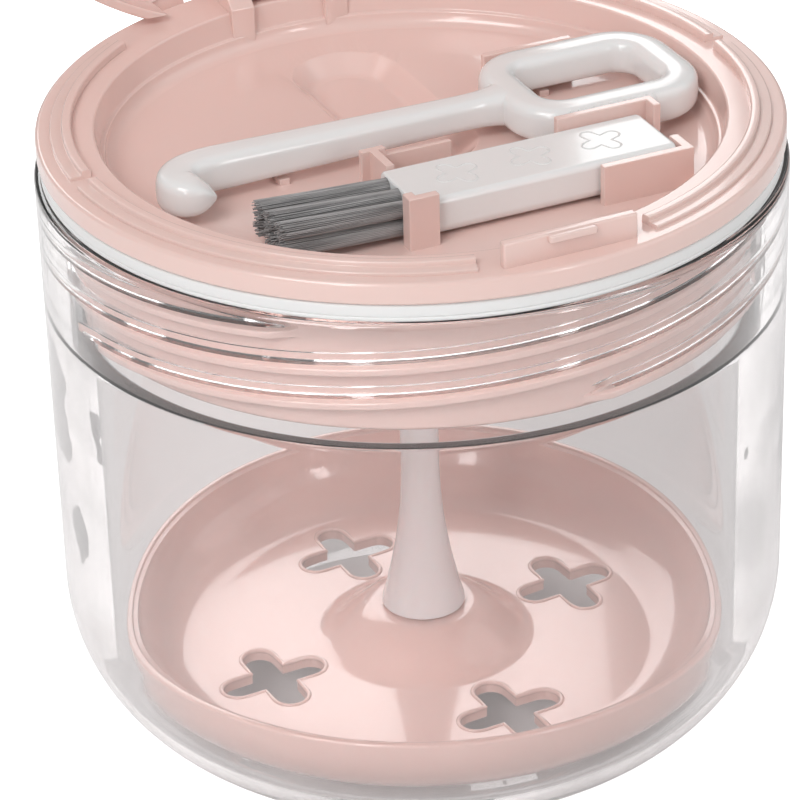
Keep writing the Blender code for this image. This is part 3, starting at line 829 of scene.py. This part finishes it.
def make_bristles():
    chance = random.Random(7)
    root_x, face_x, tip_x = BRUSH_X[0] + 6.0, BRUSH_X[0] - 0.4, -28.0
    for number, (y, z) in enumerate(tuft_places(), 1):
        points, faces = [], []
        for strand in range(STRANDS):
            on_rim = strand < RIM_STRANDS
            angle = 2 * math.pi * strand / RIM_STRANDS if on_rim else chance.uniform(0, 2 * math.pi)
            share = 1.0 if on_rim else 0.92 * math.sqrt(chance.uniform(0.0, 1.0))
            end = tip_x + 0.15 + 0.9 * chance.random() ** 2
            wander = chance.uniform(-0.02, 0.02)
            sections = (
                (root_x, 0.0, 1.0),
                (face_x, 0.0, 1.04),
                (-14.0, 0.15, 1.1),
                (-21.0, 0.45, 1.14),
                (end, 0.8, 1.2),
            )
            line = []
            for x, lift, radius in sections:
                turned = angle + wander * (face_x - x) * 0.2
                reach = share * (radius - 0.06)
                line.append((x, y + reach * math.cos(turned), z + lift + reach * math.sin(turned)))
            add_strand(points, faces, line)
        tuft = add_mesh(f"bristles_{number}", points, faces, 80.0)
        place(tuft, "brush", nylon, "bristle", f"bristle_tuft_{number}")


def soft_square(half_w, half_h, power=3.4, sides=32):
    """A rounded-square section."""
    made = []
    for k in range(sides):
        turn = 2 * math.pi * k / sides
        c, s = math.cos(turn), math.sin(turn)
        made.append(
            (
                math.copysign(abs(c) ** (2 / power), c) * half_w,
                math.copysign(abs(s) ** (2 / power), s) * half_h,
            )
        )
    return made


def bar(name, path, closed):
    """A rounded bar along (x, y, half width, half height) points at the tool's level."""
    count = len(path)
    outlines = []
    for i, (x, y, half_w, half_h) in enumerate(path):
        a = Vector(path[(i - 1) % count if closed else max(i - 1, 0)][:2])
        b = Vector(path[(i + 1) % count if closed else min(i + 1, count - 1)][:2])
        along = (b - a).normalized()
        side = Vector((-along.y, along.x))
        section = soft_square(half_w, half_h)
        outlines.append([(x + side.x * u, y + side.y * u, TOOL_Z + v) for u, v in section])
    return loft(name, outlines, closed)


def smooth_path(points, samples):
    """A Catmull-Rom line through the points."""
    rows = np.array(points, float)
    rows = np.vstack([2 * rows[0] - rows[1], rows, 2 * rows[-1] - rows[-2]])
    made = []
    for i in range(1, len(rows) - 2):
        a, b, c, d = rows[i - 1 : i + 3]
        for k in range(samples):
            t = k / samples
            square = (2 * a - 5 * b + 4 * c - d) * t * t
            cube = (3 * b - a - 3 * c + d) * t**3
            made.append(tuple(0.5 * (2 * b + (c - a) * t + square + cube)))
    made.append(tuple(rows[-2]))
    return made


def loop_path():
    (x0, x1), (y0, y1), r = LOOP_X, LOOP_Y, LOOP_CORNER
    flat = arc((x1 - r, y1 - r), r, 0, 90, 14)
    flat += [(x, y1) for x in levels(x1 - r, x0 + r, 1.0)[1:-1]]
    flat += arc((x0 + r, y1 - r), r, 90, 180, 14)
    flat += [(x0, y) for y in levels(y1 - r, y0 + r, 1.0)[1:-1]]
    flat += arc((x0 + r, y0 + r), r, 180, 270, 14)
    flat += [(x, y0) for x in levels(x0 + r, x1 - r, 0.6)[1:-1]]
    flat += arc((x1 - r, y0 + r), r, 270, 360, 14)
    flat += [(x1, y) for y in levels(y0 + r, y1 - r, 1.0)[1:-1]]
    return [(x, y, LOOP_HALF, LOOP_HALF) for x, y in flat]


def make_tool():
    tool = bar("tool_loop_bar", loop_path(), True)
    shaft = (
        (LOOP_X[0] - 0.3, SHAFT_Y, 3.9, 2.35),
        (12.2, SHAFT_Y, 2.9, 2.3),
        (10.4, SHAFT_Y, 2.25, 2.15),
        (7.5, SHAFT_Y, 2.0, 2.05),
        (0.0, SHAFT_Y, 2.08, 2.1),
        (-8.0, SHAFT_Y, 2.2, 2.2),
        (-16.0, SHAFT_Y, 2.32, 2.3),
        (-24.0, SHAFT_Y, 2.45, 2.45),
        (-28.6, SHAFT_Y - 0.15, 2.5, 2.5),
        (-31.6, SHAFT_Y - 1.2, 2.5, 2.5),
        (-33.2, SHAFT_Y - 3.2, 2.5, 2.5),
        (-33.0, SHAFT_Y - 5.0, 2.5, 2.45),
        (-31.9, SHAFT_Y - 6.3, 2.2, 2.15),
        (-30.7, SHAFT_Y - 7.0, 1.45, 1.45),
        (-29.9, SHAFT_Y - 7.35, 0.6, 0.6),
        (-29.6, SHAFT_Y - 7.45, 0.15, 0.15),
    )
    combine(tool, bar("shaft", smooth_path(shaft, 6), False), "UNION")
    shade(tool, 45.0)
    place(tool, "removal_tool", white, "white_plastic", "removal_tool")
    teeth = []
    face_y = LOOP_Y[0] - 2.25
    for k in range(TEETH):
        x = TOOTH_START_X + TOOTH_PITCH * k
        line = [(x, face_y, TOOL_Z + 1.0), (x, face_y + 0.2, TOOL_Z + 1.75), (x, face_y + 0.65, TOOL_Z + 2.1)]
        teeth.append(tube("tooth", line, 0.24, 8))
    place(join("tool_grip_teeth", teeth), "removal_tool", white, "white_plastic", "removal_tool")


make_jar()
make_seal()
make_lid()
make_cover()
make_basket()
make_stem()
make_handle()
make_bristles()
make_tool()

for node_name, look in [("hinge_pin", steel)] + [(f"tuft_anchor_{k}", steel) for k in range(1, 7)]:
    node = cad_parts[node_name]
    for index in range(len(node.data.materials)):
        node.material_slots[index].material = look


# ------------------------------------------------------- floor, light and camera


def make_floor():
    mesh = bpy.data.meshes.new("floor")
    reach = 6.0
    low = -0.0002
    corners = [(-reach, -reach, low), (reach, -reach, low), (reach, reach, low), (-reach, reach, low)]
    mesh.from_pydata(corners, [], [(0, 1, 2, 3)])
    floor = bpy.data.objects.new("floor", mesh)
    bpy.context.scene.collection.objects.link(floor)
    made = Nodes("floor_paint")
    shade_of_grey = made.spread(made.noise(6.0), 0, 1)
    made.plug(made.blend(shade_of_grey, (0.8, 0.79, 0.79), (0.77, 0.76, 0.76)), "Base Color")
    made.set(Roughness=0.9, Emission_Color=(1, 1, 1, 1))
    paths = made.tree.nodes.new("ShaderNodeLightPath")
    glow = made.tree.nodes.new("ShaderNodeMapRange")
    glow.inputs["To Min"].default_value = 0.16
    made.tree.links.new(paths.outputs["Is Camera Ray"], glow.inputs["Value"])
    made.plug(glow.outputs["Result"], "Emission Strength")
    mesh.materials.append(made.material)


def area_light(name, where, size, watts):
    light = bpy.data.lights.new(name, "AREA")
    light.shape = "RECTANGLE"
    light.size, light.size_y = size
    light.energy = watts
    holder = bpy.data.objects.new(name, light)
    bpy.context.scene.collection.objects.link(holder)
    holder.location = where
    aim = Vector((0, 0, 0.05)) - Vector(where)
    holder.rotation_euler = aim.to_track_quat("-Z", "Y").to_euler()


def make_world():
    world = bpy.data.worlds.new("studio")
    bpy.context.scene.world = world
    world.use_nodes = True
    tree = world.node_tree
    place_node = tree.nodes.new("ShaderNodeTexCoord")
    split = tree.nodes.new("ShaderNodeSeparateXYZ")
    tree.links.new(place_node.outputs["Generated"], split.inputs["Vector"])
    ramp = tree.nodes.new("ShaderNodeValToRGB")
    ramp.color_ramp.elements[0].position = 0.0
    ramp.color_ramp.elements[0].color = (0.5, 0.48, 0.48, 1)
    ramp.color_ramp.elements[1].position = 0.55
    ramp.color_ramp.elements[1].color = (0.95, 0.95, 0.95, 1)
    tree.links.new(split.outputs["Z"], ramp.inputs["Fac"])
    back = tree.nodes["Background"]
    tree.links.new(ramp.outputs["Color"], back.inputs["Color"])
    back.inputs["Strength"].default_value = 0.4


def make_camera():
    data = bpy.data.cameras.new("camera")
    data.lens = 169.5
    data.sensor_width = 36.0
    data.clip_start = 0.01
    camera = bpy.data.objects.new("camera", data)
    bpy.context.scene.collection.objects.link(camera)
    back = Vector((-0.3543, -0.7959, 0.4909)).normalized()
    right = Vector((0.9135, -0.4067, 0.0)).normalized()
    up = back.cross(right)
    roll = math.radians(1.72)
    right, up = math.cos(roll) * right - math.sin(roll) * up, math.sin(roll) * right + math.cos(roll) * up
    turn = Matrix((right, up, back)).transposed().to_4x4()
    camera.matrix_world = Matrix.Translation((-0.1765, -0.3906, 0.2854)) @ turn
    bpy.context.scene.camera = camera


make_floor()
make_world()
area_light("key", (-0.55, -0.35, 0.75), (0.45, 0.45), 4.0)
area_light("fill", (0.7, -0.3, 0.55), (0.8, 0.8), 1.4)
area_light("rear", (0.1, 0.8, 0.6), (0.8, 0.4), 3.2)
area_light("strip_left", (-0.62, -0.62, 0.42), (0.1, 0.4), 0.9)
area_light("strip_right", (0.3, -0.85, 0.42), (0.1, 0.4), 0.9)
make_camera()
bpy.context.scene.view_settings.view_transform = "Standard"
